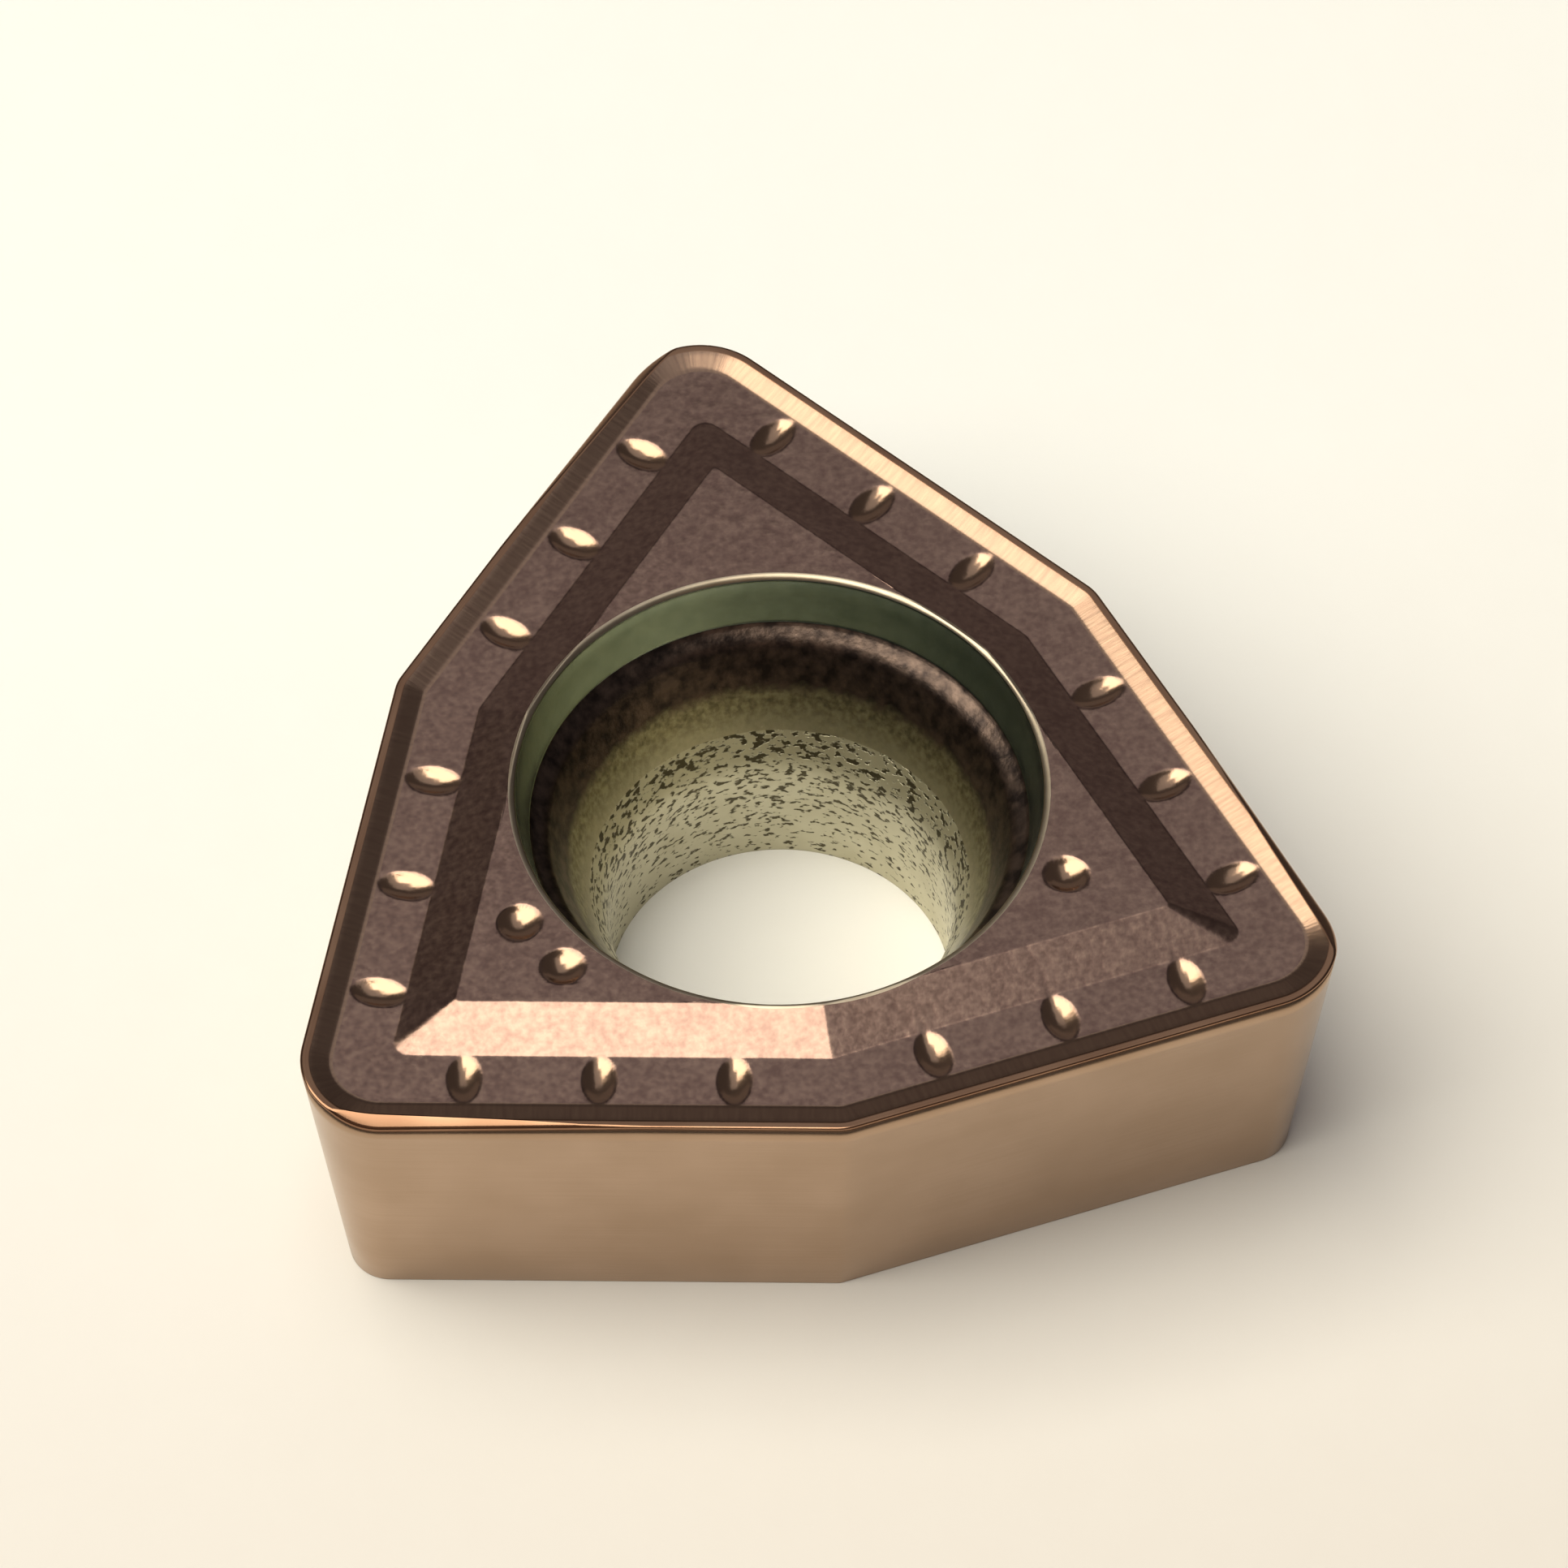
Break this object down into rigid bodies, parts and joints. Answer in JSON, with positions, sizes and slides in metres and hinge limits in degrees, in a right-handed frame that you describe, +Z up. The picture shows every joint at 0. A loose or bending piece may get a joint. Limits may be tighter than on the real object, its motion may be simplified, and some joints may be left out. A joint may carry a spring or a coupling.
{
  "type": "carbide insert",
  "caption": "Indexable trigon cutting insert with rounded 80 degree corners, a chip groove with oval dimples and a countersunk screw hole, for the end of a short-hole drill.",
  "frame": {"origin": "on the axis of the screw hole, in the flat bottom face that seats in the holder's pocket", "axes": "+Z up along the hole to the cutting face; +Y towards the first of the three cutting corners; the other two lie at 210 and 330 degrees from +X"},
  "size_m": [0.0102, 0.0097, 0.0033],
  "materials": {
    "coated_carbide": "satin"
  },
  "bodies": {
    "root": {"insert": "coated_carbide"}
  },
  "joints": []
}
